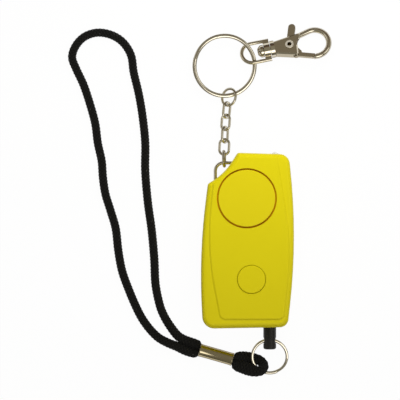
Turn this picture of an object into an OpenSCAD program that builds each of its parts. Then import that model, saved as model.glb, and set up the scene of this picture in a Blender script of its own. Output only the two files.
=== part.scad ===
// Personal safety alarm: a pull-pin siren in a two-shell case, with a key chain and a wrist cord.
// It lies on its back: +X is right, +Y is up the case, +Z is out of the front panel.
// The origin is the centre of the back face, so z = 0 is the table.

/* [Case] */
// Width of the case at its foot, before the sides bow out
case_w = 35; // [34:0.5:38]
// Height of the case
case_h = 68; // [67:0.5:72]
// Thickness of the case, from back face to front panel
case_t = 15; // [15:0.1:17]
// Height of the parting line, where the pull pin and the bail lie
split_z = 5.5; // [5.3:0.1:6]
// Wall of both covers
wall = 1.5; // [1.3:0.1:1.7]
// Rounding of the front edges
front_edge = 2; // [1.5:0.1:2.5]
// Rounding of the back edges
back_edge = 2.2; // [1:0.1:2.5]
// Step between the covers along the parting line
seam_step = 0.15; // [0.1:0.05:0.3]
// Rounding of the lower left corner
low_left_r = 4.6; // [3:0.1:6]
// Rounding of the lower right corner
low_right_r = 3.4; // [2:0.1:5]
// Rounding of the upper right corner
top_right_r = 4; // [2:0.1:5]
// How far the right side leans in at its foot
right_lean = 2.3; // [1:0.1:3]
// How far the right side leans in at its top
right_top_lean = 1.85; // [1:0.1:3]
// How far the left side leans in at the bail corner
left_lean = 1.9; // [1:0.1:3]
// Width of the hollowed bail corner
notch_w = 13.4; // [12:0.1:14]
// Height of the hollowed bail corner
notch_h = 12; // [11:0.1:13]
// Radius of the hollow in the bail corner
notch_r = 24; // [15:1:30]

/* [Front panel] */
// Height of the step round the front panel
panel_step = 0.5; // [0.3:0.1:0.8]
// Width of that step, seen from the front
panel_step_w = 0.8; // [0.4:0.1:1.2]
// Margin below the front panel
panel_low_margin = 4.1; // [3:0.1:5]
// Margin beside the front panel, at the widest part of the case
panel_side_margin = 1.3; // [0.8:0.1:2]
// Diameter of the badge disc
badge_d = 22; // [18:0.5:23]
// Thickness of the badge disc
badge_t = 0.9; // [0.6:0.1:1]
// Width of the groove round the badge disc
badge_groove = 0.6; // [0.3:0.05:0.8]
// Depth of that groove below the disc's seat
badge_groove_deep = 0.3; // [0.1:0.05:0.4]
// Rounding of the badge disc's rim
badge_edge = 0.25; // [0.1:0.05:0.4]
// Badge centre, across the case
badge_x = -0.6; // [-1:0.1:0]
// Badge centre, up the case
badge_y = 16.4; // [15.5:0.1:17]
// Diameter of the light button
button_d = 10.9; // [9:0.1:12]
// Gap round the light button
button_gap = 0.15; // [0.1:0.05:0.3]
// Travel of the light button
button_travel = 0.5; // [0.3:0.1:0.6]
// Button centre, across the case
button_x = 1.2; // [1:0.1:1.6]
// Button centre, up the case
button_y = -14.9; // [-15.4:0.1:-14.4]

/* [Pull pin] */
// Diameter of the pull pin
pin_d = 5; // [4:0.1:5.4]
// Pin centre line, across the case
pin_x = 8.45; // [7.8:0.05:8.6]
// Length of the pin below the case
pin_out = 8.3; // [7.5:0.1:10]
// Length of the thick part of the pin inside the case
pin_in = 6.6; // [6:0.1:7]
// Diameter of the pin's tip, which holds the contacts apart
pin_tip_d = 2.4; // [2:0.1:3]
// Length of that tip
pin_tip_l = 5.6; // [5:0.1:6]
// Diameter of the cross hole for the ring
pin_hole_d = 2.7; // [2.6:0.1:3]
// Cross hole above the lower end of the pin
pin_hole_up = 3.4; // [3:0.1:4]
// Outer diameter of the pin ring
pin_ring_od = 14.6; // [13.5:0.1:16]
// Radial width of the pin ring's wire
pin_ring_w = 1.1; // [0.9:0.1:1.2]
// Thickness of the pin ring, both turns
pin_ring_t = 1.2; // [1:0.1:1.3]
// Slope of the pin ring, down to the table
pin_ring_tilt = 16; // [14:1:18]

/* [Battery and sound] */
// Diameter of the battery cell
cell_d = 10.3; // [10:0.1:10.5]
// Length of the battery cell with its nub
cell_l = 28.5; // [27.5:0.1:29]
// Cell centre line, in from the left side of the case
cell_in = 7.9; // [7.7:0.1:8.1]
// Wire of the battery spring
spring_wire = 0.6; // [0.5:0.05:0.7]
// Turns of the battery spring
spring_turns = 3; // [2:1:3]
// Diameter of the siren disc
siren_d = 24; // [22:0.5:24.5]
// Siren centre, up the case
siren_y = 13.4; // [13:0.1:14]
// Number of sound slots in the back
slot_count = 5; // [3:2:5]
// Width of a sound slot
slot_w = 1.4; // [1:0.1:1.8]
// Thickness of the circuit board
board_t = 1.2; // [1:0.1:1.6]
// Diameter of the light LED
led_d = 3; // [2.8:0.1:3.2]
// LED centre line, in from the right side of the case
led_in = 7; // [6.7:0.1:7.5]

/* [Key chain] */
// Wire of the bail
bail_wire = 1.25; // [1:0.05:1.4]
// Outer length of a chain link
link_l = 7; // [6.8:0.1:8]
// Outer width of a chain link
link_w = 4.7; // [4.5:0.1:5]
// Wire of a chain link
link_wire = 1; // [0.8:0.05:1.1]
// Slack where one link hangs in the next
link_slack = 0.2; // [0.15:0.05:0.3]
// Outer diameter of the jump ring
jump_od = 7.7; // [7.4:0.1:8]
// Outer diameter of the key ring
key_ring_od = 25; // [24:0.5:28]
// Radial width of the key ring's wire
key_ring_w = 1.4; // [1.2:0.1:1.5]
// Thickness of the key ring, both turns
key_ring_t = 1.7; // [1.5:0.1:1.8]

/* [Clasp] */
// Turn of the clasp from the X direction
clasp_yaw = 11; // [8:1:14]
// Roll of the clasp, lower edge up
clasp_roll = 21; // [18:1:24]
// Outer width of the swivel eye
eye_w = 9.5; // [9.3:0.1:10.5]
// Length of the swivel eye, from the clasp's neck
eye_l = 12.1; // [11.8:0.1:13]
// Wire of the swivel eye
eye_wire = 1.4; // [1.2:0.1:1.5]
// Diameter of the swivel post
post_d = 2.6; // [2.2:0.1:2.8]
// Thickness of the clasp body
clasp_t = 4.2; // [4:0.1:4.8]
// Diameter of the hook's rod
hook_d = 2.1; // [1.8:0.1:2.2]
// Radius of the hook, at the middle of its rod
hook_r = 5.55; // [5.1:0.05:5.7]
// Thickness of the trigger plate
trigger_t = 1.6; // [1.2:0.1:1.8]
// Outer diameter of the rivet's tube
rivet_d = 2.3; // [2:0.1:2.5]
// Bore of the rivet
rivet_bore = 1.6; // [1.2:0.1:1.7]

/* [Wrist cord] */
// Diameter of the wrist cord
cord_d = 3.1; // [2.8:0.1:3.2]
// Width of the flattened cord of the small eye round the pin ring
eye_cord_w = 3.8; // [3.6:0.1:4]
// Height of that flattened cord
eye_cord_h = 2.4; // [2.2:0.1:2.5]
// Width of the cord ferrule
ferrule_w = 4.9; // [4.8:0.1:5.4]
// Height of the cord ferrule
ferrule_h = 4.5; // [4.4:0.1:5]
// Wall of the cord ferrule
ferrule_wall = 0.35; // [0.3:0.05:0.4]
// How far the ferrule's lips stand out at its ends
ferrule_lip = 0.12; // [0.05:0.01:0.2]

/* [Clearances] */
// Radial gap of a piece that runs in a hole
run_gap = 0.06; // [0.04:0.01:0.08]
// Gap between pieces that slide or sit side by side
side_gap = 0.15; // [0.1:0.05:0.2]
// Gap of a screw in its hole
screw_gap = 0.05; // [0.02:0.01:0.1]

/* [Hidden] */
$fn = 48;

// Overlap that keeps cuts and joins clean
lap = 0.4;
half_w = case_w / 2;
half_h = case_h / 2;
cell_x = -half_w + cell_in;
led_x = half_w - led_in;

// Case outline, counter-clockwise: corner x, corner y, rounding. Each side is one long bow, whose
// rounding begins bow_end short of the corner beyond it.
right_bow = [1.65, 2];
left_bow = [1.75, -5.7];
bow_end = [7.3, 11];
notch_elbow = [8.3, 8];
notch_tip_r = 1.2;
low_rise = 0.6;
low_left = [-half_w, -half_h];
low_right = [half_w - right_lean, -half_h + low_rise];
right_side = [half_w + right_bow[0], right_bow[1]];
top_right = [half_w - right_top_lean, half_h - low_rise];
notch_low = [-half_w + left_lean, half_h - notch_h];
left_side = [-half_w - left_bow[0], left_bow[1]];
function bow_r(before, at, after, reach) = reach / tan(acos(unit(at - before) * unit(after - at)) / 2);
case_outline = [
  [each low_left, low_left_r],
  [each low_right, low_right_r],
  [each right_side, bow_r(low_right, right_side, top_right, half_h - bow_end[0])],
  [each top_right, top_right_r],
  [-half_w + notch_w, half_h, notch_tip_r],
  [-half_w + notch_elbow[0], half_h - notch_elbow[1], notch_r],
  [each notch_low, notch_tip_r],
  [each left_side, bow_r(notch_low, left_side, low_left, half_h - bow_end[1])]
];

// Front panel outline. Its top runs out past the case, so only its sides and foot show as a step.
panel_foot = [7.1, 4.3];
panel_foot_r = 2;
panel_top = [6, 7.4];
panel_bow_r = 110;
panel_bow_y = -2.5;
panel_left_extra = 0.5;
panel_over = 2;
panel_outline = [
  [-half_w + panel_foot[0], -half_h + panel_low_margin, panel_foot_r],
  [half_w - panel_foot[1], -half_h + panel_low_margin, panel_foot_r],
  [half_w - panel_side_margin, panel_bow_y, panel_bow_r],
  [half_w - panel_top[1], half_h + panel_over, panel_foot_r],
  [-half_w + panel_top[0], half_h + panel_over, panel_foot_r],
  [-half_w + panel_side_margin + panel_left_extra, panel_bow_y, panel_bow_r]
];
shoulder_z = case_t - panel_step;
roof_z = shoulder_z - wall;
panel_tuck = 0.03;
least_bend = 0.05;
corner_steps = 8;
edge_steps = 6;
step_rings = 4;

// Battery door and its grooves
door_t = 1.5;
door_lip_z = 0.85;
door_set_in = 0.15;
door_tongue = 0.7;
door_side = 0.35;
door_w = cell_d + 2 * door_side;
door_top = 1;
door_grip_count = 4;
door_grip = [6, 0.6, 0.4];
door_grip_down = 4;
rail_t = 1;

// Case screws: distances from the sides and ends of the case and from the door, then shank and head
screw_top_in = [4.8, 13];
screw_low_in = [4.6, 4.7];
screw_side_in = 4.1;
screw_over_door = 3.2;
screw_at = [
  [half_w - screw_top_in[0], half_h - screw_top_in[1]],
  [-half_w + screw_side_in, door_top + screw_over_door],
  [half_w - screw_low_in[0], -half_h + screw_low_in[1]]
];
screw_d = 2;
screw_head = [3.6, 1.5];
screw_head_z = 0.9;
screw_cross = [2.2, 0.5, 0.7];
boss_d = 3.8;

// Battery: the spring stands on the lower wall and the cell on the spring
cell_over_door = 0.4;
cell_z = door_t + cell_d / 2 + cell_over_door;
cell_nub = [5, 1.5];
contact_t = 0.3;
cell_top = 0.5;
cell_low = cell_top - cell_l;
spring_low = -half_h + wall + low_rise / 2;
spring_d = 7;
saddle_t = 1.2;
saddle_up = [6, 22];
saddle_over = 1;

// Pull pin, in the parting plane
pin_low = -half_h - pin_out;
pin_hole_y = pin_low + pin_hole_up;
pin_shoulder = -half_h + pin_in;
guide_wall = 1.5;
guide_w = pin_d + 2 * guide_wall;
guide_h = 3;
guide_end = pin_shoulder - side_gap;
contact_leaf = 0.25;
leaf_up = 1;
leaf_below = 1;

// Board and what stands on it
board_z = 7.4;
board_top = board_z + board_t;
board_over_pin = 0.6;
board_low = pin_shoulder + board_over_pin;
board_step = 1.8;
board_by_cell = 0.6;
board_left = [-10.5, cell_x + cell_d / 2 + board_by_cell];
board_head_down = 7.5;
board_head = half_h - board_head_down;
board_post_d = 2.2;
board_post_at = [[13, -20], [-1.6, -24], [13, 8.5], [-8.5, 17.5]];
switch_w = 6;
switch_top = 11.8;
switch_h = switch_top - board_top;
plunger_d = 3.5;
plunger_sunk = 1;
coil_at = [10.2, -6.5];
coil_d = 6;
coil_core_d = 5;
coil_h = 4.2;
coil_flange = 0.8;
chip_at = [9.3, 3.6];
chip_size = [5, 4, 1.5];
transistor_at = [4.2, -4];
transistor_d = 4.6;
transistor_h = 4;
led_lift = 0.45;
led_z = board_top + led_lift;
led_tip = 1;
led_over_board = 2.1;
led_base = board_head + led_over_board;
led_flange = [3.7, 0.8];
lead_d = 0.5;
lead_step = 1.27;
lead_l = 5.4;
lead_end = led_base - lead_l;

// Siren
siren_z = 3;
siren_t = 0.3;
ceramic_d = 16;
ceramic_t = 0.3;
siren_wall = 0.8;
siren_lead_at = [[-1.6, siren_y - 4], [9.4, siren_y - 2]];
slot_pitch = 3;
slot_l = 15;

// Light button
button_flange = [1.2, 0.45];
button_edge = 0.25;

// Bail, a bent wire in the parting plane: how far in its leg and bar lie, and where they end
bail_leg_in = 4.8;
bail_bar_down = 3.8;
bail_bend = 3.2;
bail_leg_down = 13;
bail_bar_in = 14;
bail_hold_in = 8.2;
bail_leg_x = -half_w + bail_leg_in;
bail_bar_y = half_h - bail_bar_down;
bail_leg_end = half_h - bail_leg_down;
bail_bar_end = -half_w + bail_bar_in;
anchor_w = 3;
anchor_h = 2.5;

// Chain: turn from +Y towards +X, slope and roll of each link
link_yaw = [0, 3, 3, 4, 6];
link_slope = [-20, -3.5, -3.5, -3.5, -3.5];
link_roll = [-80, 8, -55, 35, -48];
link_inner = link_l - 2 * link_wire;
bail_hold = [-half_w + bail_hold_in, bail_bar_y, split_z];

// Jump ring, tilted with its right side up
jump_yaw = 16;
jump_tilt = 41;
jump_r = (jump_od - link_wire) / 2;

// Key ring and the gap between its two turns
turn_gap = 0.1;
key_ring_r = (key_ring_od - key_ring_w) / 2;
key_ring_shift = [-1.7, 0.4, 1.3];
key_ring_slope = [-3.5, 8];
pin_ring_r = (pin_ring_od - pin_ring_w) / 2;

// Split rings: the wire's first and last angle, its climb to the second turn, and each ring's turn
ring_step_angle = 15;
ring_from_angle = 15;
ring_to_angle = 675;
climb_from_angle = 315;
climb_angle = 60;
key_ring_turn = 150;
pin_ring_turn = -20;

// Clasp, in its own frame: x along its axis from the neck to the hook, y across, z its thickness
eye_on_ring_angle = 24.5;
eye_reach = 7.3;
eye_over_ring = 0.05;
eye_base = [-2.6, -0.2];
eye_r = (eye_w - eye_wire) / 2;
eye_collar_d = 6;
post_head = [4.8, 2.4];
clasp_edge = 0.5;
clasp_l = 15;
clasp_plate = [
  [0.5, -2.5, 0.4],
  [10.2, -5.05, 0.6],
  [10.6, -1, 0.5],
  [12.4, 2.8, 0.3],
  [12.3, 4, 0.4],
  [0.5, 2.2, 0.4]
];
clasp_neck = [6.6, 1.6];
hook_at = [17.25, -0.85];
hook_tip_angle = -93;
hook_root = [11, 3.2];
eye_hole = [15, -0.3, 4.5];
pivot = [7.5, -0.1];
trigger_boss = 2.3;
trigger_reach = 10.65;
lever_end = [9.8, 7.3];
lever_w = 2.8;
gate_w = 1.7;
gate_root = [10.4, -4.4];
gate_tip = [17.2, -6.55];
slot_x = [4.4, 10.45];
slot_floor = -3.05;
gate_slot_top = 1.2;
rivet_head = [3.3, 0.3];
leaf_t = 0.35;
post_end_gap = 0.6;

// Wrist cord: ferrule ends, the route of the loop in plan, then the route of the small eye
ferrule_a = [-18.8, -42.7];
ferrule_b = [-5.9, -46.4];
lip_l = 0.5;
table_gap = 0.05;
ferrule_z = ferrule_h / 2 + ferrule_lip + table_gap;
strand_off = 1.05;
strand_r = 1.04;
strand_in = 1.5;
strand_out = 0.3;
cord_z = cord_d / 2 + table_gap;
cord_sides = 8;
swell_rings = 2;
loop_route = [
  [-21.2, -43.75], [-24.3, -42.9], [-27.7, -41.35], [-31.5, -39.8], [-35, -37.8], [-38.4, -34.4],
  [-41.5, -30], [-44, -25],
  [-46.5, -19], [-49, -12], [-50.5, -4], [-51.5, 4.5], [-53.5, 11.5], [-55.5, 18], [-56.5, 24.5],
  [-57, 31], [-58.5, 38], [-59.5, 45.5], [-61.5, 53], [-64, 60.5], [-67, 67], [-68.5, 71.5],
  [-67, 76], [-63.5, 79.5], [-58.5, 81], [-53, 80], [-48.5, 77], [-45.5, 72], [-44.5, 65.5],
  [-42.5, 57], [-41, 48], [-40, 38], [-40, 27], [-39, 15], [-37.5, 4], [-36.5, -7], [-36, -17],
  [-34.4, -25], [-32.6, -29.6], [-30.1, -33.7], [-27.4, -37.1], [-24.6, -38.9], [-20.3, -40.5]
];
eye_route = [
  [-4, -45.4, 2], [-1.2, -45.4, 1.4], [2, -45.9, 1.2], [4.4, -46.7, 1.5], [5.9, -48.1, 2.5],
  [6, -49.6, 3.7], [4.8, -50.7, 4.4], [2.5, -51, 4.2], [0, -50.5, 3.6], [-2.2, -49.7, 2.9],
  [-4, -49, 2.4]
];

// Vector helpers
function unit(v) = v / norm(v);
function flat(v) = [v[0], v[1]];
function left_of(v) = [-v[1], v[0]];
function spin(v, a) = [v[0] * cos(a) - v[1] * sin(a), v[0] * sin(a) + v[1] * cos(a)];

// One rounded corner of an outline that is moved inwards by inset
function corner_arc(before, at, after, r, inset) =
  let (
    u = unit(at - before),
    v = unit(after - at),
    turn = atan2(u[0] * v[1] - u[1] * v[0], u * v),
    moved = at + inset * (left_of(u) + left_of(v)) / (1 + u * v),
    side = sign(turn),
    bend = max(r - side * inset, least_bend),
    start = moved - u * bend * tan(abs(turn) / 2),
    middle = start + side * bend * left_of(u)
  )
  [for (k = [0:corner_steps]) middle + spin(start - middle, turn * k / corner_steps)];

// A whole outline of rounded corners, moved inwards by inset
function outline(corners, inset = 0) =
  let (n = len(corners))
  [
    for (i = [0:n - 1])
      each corner_arc(
        flat(corners[(i + n - 1) % n]), flat(corners[i]), flat(corners[(i + 1) % n]),
        corners[i][2], inset
      )
  ];
function lift(points, z) = [for (p = points) [p[0], p[1], z]];

// Rings of points joined into one closed solid
module loft(rings) {
  n = len(rings[0]);
  last = len(rings) - 1;
  sides = [
    for (j = [0:last - 1], i = [0:n - 1])
      let (a = j * n + i, b = j * n + (i + 1) % n)
      each [[a, a + n, b + n], [a, b + n, b]]
  ];
  ends = [[for (i = [0:n - 1]) i], [for (i = [n - 1:-1:0]) last * n + i]];
  polyhedron([for (r = rings) each r], concat(sides, ends));
}

// Sections of a tube along a path, with a half width and a half height at each point
function heading(path, i) = unit(path[min(i + 1, len(path) - 1)] - path[max(i - 1, 0)]);
function tube_rings(path, half_widths, half_heights, sides) = [
  for (i = [0:len(path) - 1])
    let (ahead = heading(path, i), across = unit(cross([0, 0, 1], ahead)), up = cross(ahead, across))
    [
      for (k = [0:sides - 1])
        let (a = 360 * k / sides)
        path[i] + half_widths[i] * cos(a) * across + half_heights[i] * sin(a) * up
    ]
];

// A smooth path through a route's points, with one more point between each two
function between(a, b, c, d) = (9 * (b + c) - a - d) / 16;
function smooth(route) =
  let (last = len(route) - 1)
  [
    for (i = [0:last])
      each i == last
        ? [route[i]]
        : [
            route[i],
            between(route[max(i - 1, 0)], route[i], route[i + 1], route[min(i + 2, last)])
          ]
  ];

// Chain: direction, width direction, and the points where each link hangs and lies
function link_dir(i) = [
  sin(link_yaw[i]) * cos(link_slope[i]), cos(link_yaw[i]) * cos(link_slope[i]), sin(link_slope[i])
];
function link_across(i) =
  let (right = [cos(link_yaw[i]), -sin(link_yaw[i]), 0])
  cos(link_roll[i]) * right + sin(link_roll[i]) * cross(right, link_dir(i));
function link_hang(i) = i == 0 ? bail_hold : link_at(i - 1) + link_dir(i - 1) * (link_l - link_wire) / 2;
function link_at(i) =
  link_hang(i) + link_dir(i) * (link_inner / 2 - (i == 0 ? bail_wire : link_wire) / 2 - link_slack);
link_last = len(link_yaw) - 1;
jump_hang = link_hang(link_last + 1);
jump_dir = [sin(jump_yaw), cos(jump_yaw), 0];
jump_right = [cos(jump_yaw), -sin(jump_yaw), 0];
jump_at = jump_hang + jump_dir * (jump_r - link_wire - link_slack);
jump_across = cos(jump_tilt) * jump_right + [0, 0, sin(jump_tilt)];
key_ring_at = jump_at + [key_ring_shift[0], key_ring_r + key_ring_shift[1], key_ring_shift[2]];
clasp_at = key_ring_at + key_ring_r * [cos(eye_on_ring_angle), sin(eye_on_ring_angle), 0]
  + eye_reach * [cos(clasp_yaw), sin(clasp_yaw), 0] + [0, 0, eye_over_ring];

// Places a piece by its centre, its width direction and its length direction
module place(at, across, along) {
  face = cross(across, along);
  multmatrix([
    [across[0], along[0], face[0], at[0]],
    [across[1], along[1], face[1], at[1]],
    [across[2], along[2], face[2], at[2]]
  ]) children();
}
module place_clasp() {
  translate(clasp_at) rotate([0, 0, clasp_yaw]) rotate([-clasp_roll, 0, 0]) children();
}
module place_key_ring() {
  translate(key_ring_at) rotate([key_ring_slope[1], -key_ring_slope[0], 0]) children();
}
module place_pin_ring() {
  sag = pin_ring_r - sqrt(pin_ring_r * pin_ring_r - pin_d * pin_d / 4);
  translate([pin_x, pin_hole_y, split_z]) rotate([pin_ring_tilt, 0, 0])
    translate([0, sag / 2 - pin_ring_r, 0]) children();
}

// A cylinder along Y or X from a start point
module rod_y(at, d, l) { translate(at) rotate([-90, 0, 0]) cylinder(d = d, h = l); }
module rod_x(at, d, l) { translate(at) rotate([0, 90, 0]) cylinder(d = d, h = l); }

// A bent arc of round wire in the XY plane
module wire_arc(r, d, from, to) {
  rotate([0, 0, from]) rotate_extrude(angle = to - from) translate([r, 0]) circle(d = d);
}

// A closed link of round wire, long along Y
module wire_link(l, w, d) {
  r = (w - d) / 2;
  leg = l - w;
  for (s = [-1, 1]) {
    rod_y([s * r, -leg / 2, 0], d, leg);
    translate([0, s * leg / 2, 0]) wire_arc(r, d, s * 90 - 90, s * 90 + 90);
  }
}

// A split ring: one flat wire that makes two turns and steps from the lower to the upper one
function turn_height(a, pitch) = pitch * (min(max((a - climb_from_angle) / climb_angle, 0), 1) - 0.5);
function wire_section(w, t) =
  let (c = min(w, t) / 4)
  [
    [w / 2, -t / 2 + c], [w / 2, t / 2 - c], [w / 2 - c, t / 2], [-w / 2 + c, t / 2],
    [-w / 2, t / 2 - c], [-w / 2, -t / 2 + c], [-w / 2 + c, -t / 2], [w / 2 - c, -t / 2]
  ];
module split_ring(r, w, t) {
  turn_t = (t - turn_gap) / 2;
  section = wire_section(w, turn_t);
  loft([
    for (a = [ring_from_angle:ring_step_angle:ring_to_angle])
      [
        for (p = section)
          [(r - p[0]) * cos(a), (r - p[0]) * sin(a), p[1] + turn_height(a, turn_t + turn_gap)]
      ]
  ]);
}

// Case skins and hollow
function front_ring(k, inset, top) =
  lift(
    outline(case_outline, inset + front_edge * (1 - cos(90 * k / edge_steps))),
    top - front_edge + front_edge * sin(90 * k / edge_steps)
  );
function rear_ring(k) =
  lift(
    outline(case_outline, seam_step + back_edge * (1 - sin(90 * k / edge_steps))),
    back_edge * (1 - cos(90 * k / edge_steps))
  );
module front_skin(inset, top) {
  loft(concat(
    [lift(outline(case_outline, inset), split_z)],
    [for (k = [0:edge_steps]) front_ring(k, inset, top)]
  ));
}
module rear_skin() {
  loft(concat(
    [for (k = [0:edge_steps]) rear_ring(k)],
    [lift(outline(case_outline, seam_step), split_z)]
  ));
}
// The front panel's step is an S curve from the shoulder up to the panel
function panel_ring(k) =
  let (part = k / step_rings)
  lift(
    outline(panel_outline, panel_step_w * (part - 1)),
    shoulder_z + panel_step * part * part * (3 - 2 * part)
  );
module panel_form() {
  loft(concat(
    [lift(outline(panel_outline, -panel_step_w), shoulder_z - front_edge - lap)],
    [for (k = [0:step_rings]) panel_ring(k)],
    [lift(outline(panel_outline), case_t + lap)]
  ));
}
module case_prism(inset, low, high) {
  translate([0, 0, low]) linear_extrude(high - low) polygon(outline(case_outline, inset));
}

// Cuts that both covers share
module pin_bore() {
  rod_y([pin_x, -case_h, split_z], pin_d + 2 * run_gap, case_h + pin_shoulder + side_gap);
}
module bail_path(d) {
  rod_y([bail_leg_x, bail_leg_end, split_z], d, bail_bar_y - bail_bend - bail_leg_end);
  translate([bail_leg_x + bail_bend, bail_bar_y - bail_bend, split_z]) wire_arc(bail_bend, d, 90, 180);
  rod_x([bail_leg_x + bail_bend, bail_bar_y, split_z], d, bail_bar_end - bail_leg_x - bail_bend);
}
module bail_bores() {
  d = bail_wire + 2 * screw_gap;
  rod_y([bail_leg_x, bail_leg_end - screw_gap, split_z], d, bail_bar_y - bail_bend - bail_leg_end);
  rod_x([bail_leg_x + bail_bend, bail_bar_y, split_z], d, bail_bar_end - bail_leg_x - bail_bend + screw_gap);
}
module bail_anchors(low, high) {
  translate([bail_leg_x - anchor_w / 2, bail_leg_end - lap, low]) cube([anchor_w, 2 * anchor_w, high - low]);
  translate([bail_bar_end + lap - 2 * anchor_w, bail_bar_y - anchor_w / 2, low])
    cube([2 * anchor_w, anchor_w, high - low]);
}
module pin_guide(low, high) {
  translate([pin_x - guide_w / 2, -half_h + lap, low]) cube([guide_w, guide_end + half_h - lap, high - low]);
}

// Recess for the badge disc, with a groove round its seat
module badge_seat() {
  wide = badge_d / 2 + badge_groove;
  translate([badge_x, badge_y, case_t - badge_t]) rotate_extrude()
    polygon([
      [0, 0], [badge_d / 2, 0], [badge_d / 2, -badge_groove_deep], [wide, -badge_groove_deep],
      [wide, badge_t + lap], [0, badge_t + lap]
    ]);
}

// Front cover: rounded shell with a stepped panel, bosses, saddles and a button collar
module front_cover() color("gold") {
  difference() {
    union() {
      difference() {
        union() {
          front_skin(0, shoulder_z);
          intersection() {
            front_skin(panel_tuck, case_t);
            panel_form();
          }
        }
        case_prism(wall, split_z - lap, roof_z);
      }
      intersection() {
        case_prism(wall - lap, split_z, roof_z + lap);
        union() {
          for (p = screw_at) translate([p[0], p[1], split_z]) cylinder(d = boss_d, h = case_t);
          for (p = board_post_at) translate([p[0], p[1], board_top]) cylinder(d = board_post_d, h = case_t);
          for (up = saddle_up)
            translate([-case_w, cell_low + up - saddle_t / 2, cell_z + saddle_over])
              cube([case_w + cell_x + cell_d / 2 + lap, saddle_t, case_t]);
          bail_anchors(split_z, split_z + anchor_h);
          pin_guide(split_z, split_z + guide_h);
        }
      }
    }
    translate([button_x, button_y, 0]) cylinder(d = button_d + 2 * button_gap, h = case_t + lap);
    badge_seat();
    for (p = screw_at) translate([p[0], p[1], 0]) cylinder(d = screw_d + 2 * screw_gap, h = roof_z - lap);
    rod_y([cell_x, -half_h + wall, cell_z], cell_d + 2 * side_gap, case_h / 2 - wall + board_step);
    rod_y([led_x, half_h - 2 * wall - lap, led_z], led_d + 2 * side_gap, case_h);
    pin_bore();
    bail_bores();
  }
}

// Rear cover: shallow shell with sound slots, screw bosses, siren seat and battery rails
module screw_boss_holes() {
  for (p = screw_at) translate([p[0], p[1], 0]) {
    translate([0, 0, -lap]) cylinder(d = screw_d + 4 * screw_gap, h = case_t);
    translate([0, 0, -lap])
      cylinder(d = screw_head[0] + 2 * side_gap, h = lap + screw_head_z + screw_head[1]);
  }
}
module sound_slots() {
  for (i = [0:slot_count - 1])
    translate([badge_x, siren_y + (i - (slot_count - 1) / 2) * slot_pitch, -lap]) {
      translate([-slot_l / 2, -slot_w / 2, 0]) cube([slot_l, slot_w, wall + 2 * lap]);
      for (s = [-1, 1]) translate([s * slot_l / 2, 0, 0]) cylinder(d = slot_w, h = wall + 2 * lap);
    }
}
module siren_seat() {
  translate([badge_x, siren_y, wall - lap]) difference() {
    cylinder(d = siren_d + 2 * siren_wall, h = siren_z + siren_wall - wall + lap);
    translate([0, 0, -lap]) cylinder(d = siren_d - 2 * siren_wall, h = case_t);
  }
}
module siren_pocket() {
  translate([badge_x, siren_y, siren_z]) cylinder(d = siren_d + 2 * side_gap, h = case_t);
}
module door_block(width, low, high, top) {
  translate([cell_x - width / 2, -case_h, low]) cube([width, case_h + top, high - low]);
}
module rear_cover() color("goldenrod") {
  rail_w = door_w + 2 * door_tongue + 2 * rail_t;
  difference() {
    union() {
      difference() {
        rear_skin();
        case_prism(wall + seam_step, wall, split_z + lap);
      }
      intersection() {
        case_prism(wall, wall - lap, split_z);
        union() {
          for (p = screw_at) translate([p[0], p[1], 0]) cylinder(d = boss_d + 2 * rail_t, h = split_z);
          translate([cell_x - rail_w / 2, -case_h, 0])
            cube([rail_w, case_h + door_top + rail_t, door_t + side_gap + rail_t]);
          pin_guide(0, split_z);
          bail_anchors(0, split_z);
        }
      }
      siren_seat();
    }
    siren_pocket();
    screw_boss_holes();
    sound_slots();
    door_block(door_w, -lap, split_z + lap, door_top - 2 * door_tongue);
    door_block(door_w + 2 * side_gap, -lap, door_lip_z + side_gap, door_top + side_gap);
    door_block(
      door_w + 2 * door_tongue + 2 * side_gap, door_lip_z - side_gap, door_t + side_gap, door_top + side_gap
    );
    pin_bore();
    bail_bores();
  }
}

// Battery door: follows the back of the case, with tongues that run in the rear cover's grooves
module battery_door() color("gold") {
  difference() {
    intersection() {
      rear_skin();
      union() {
        door_block(door_w, door_set_in, door_t, door_top);
        door_block(door_w + 2 * door_tongue, door_lip_z + side_gap / 2, door_t, door_top);
      }
    }
    for (i = [0:door_grip_count - 1])
      translate([cell_x - door_grip[0] / 2, door_top - door_grip_down - 2 * i * door_grip[1], -lap])
        cube([door_grip[0], door_grip[1], lap + door_set_in + door_grip[2]]);
  }
}

// Fasteners
module case_screws() color("silver") {
  for (p = screw_at) translate([p[0], p[1], screw_head_z]) difference() {
    union() {
      cylinder(d = screw_head[0], h = screw_head[1]);
      cylinder(d = screw_d, h = roof_z - lap - screw_head_z - side_gap);
    }
    for (a = [0, 90]) rotate([0, 0, a])
      translate([-screw_cross[0] / 2, -screw_cross[1] / 2, -lap]) cube(screw_cross + [0, 0, lap]);
  }
}

// Pieces set into the front panel
module badge_disc() color("gold") {
  r = badge_d / 2 - badge_edge;
  translate([badge_x, badge_y, case_t - badge_t]) rotate_extrude()
    polygon([
      [0, 0], [badge_d / 2, 0],
      for (a = [0:30:90]) [r + badge_edge * cos(a), badge_t - badge_edge + badge_edge * sin(a)],
      [0, badge_t]
    ]);
}
module light_button() color("gold") {
  translate([button_x, button_y, 0]) rotate_extrude()
    polygon([
      [0, roof_z - side_gap - button_flange[1]],
      [button_d / 2 + button_flange[0], roof_z - side_gap - button_flange[1]],
      [button_d / 2 + button_flange[0], roof_z - side_gap],
      [button_d / 2, roof_z - side_gap],
      [button_d / 2, case_t - button_edge],
      [button_d / 2 - button_edge, case_t],
      [0, case_t]
    ]);
}

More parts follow.
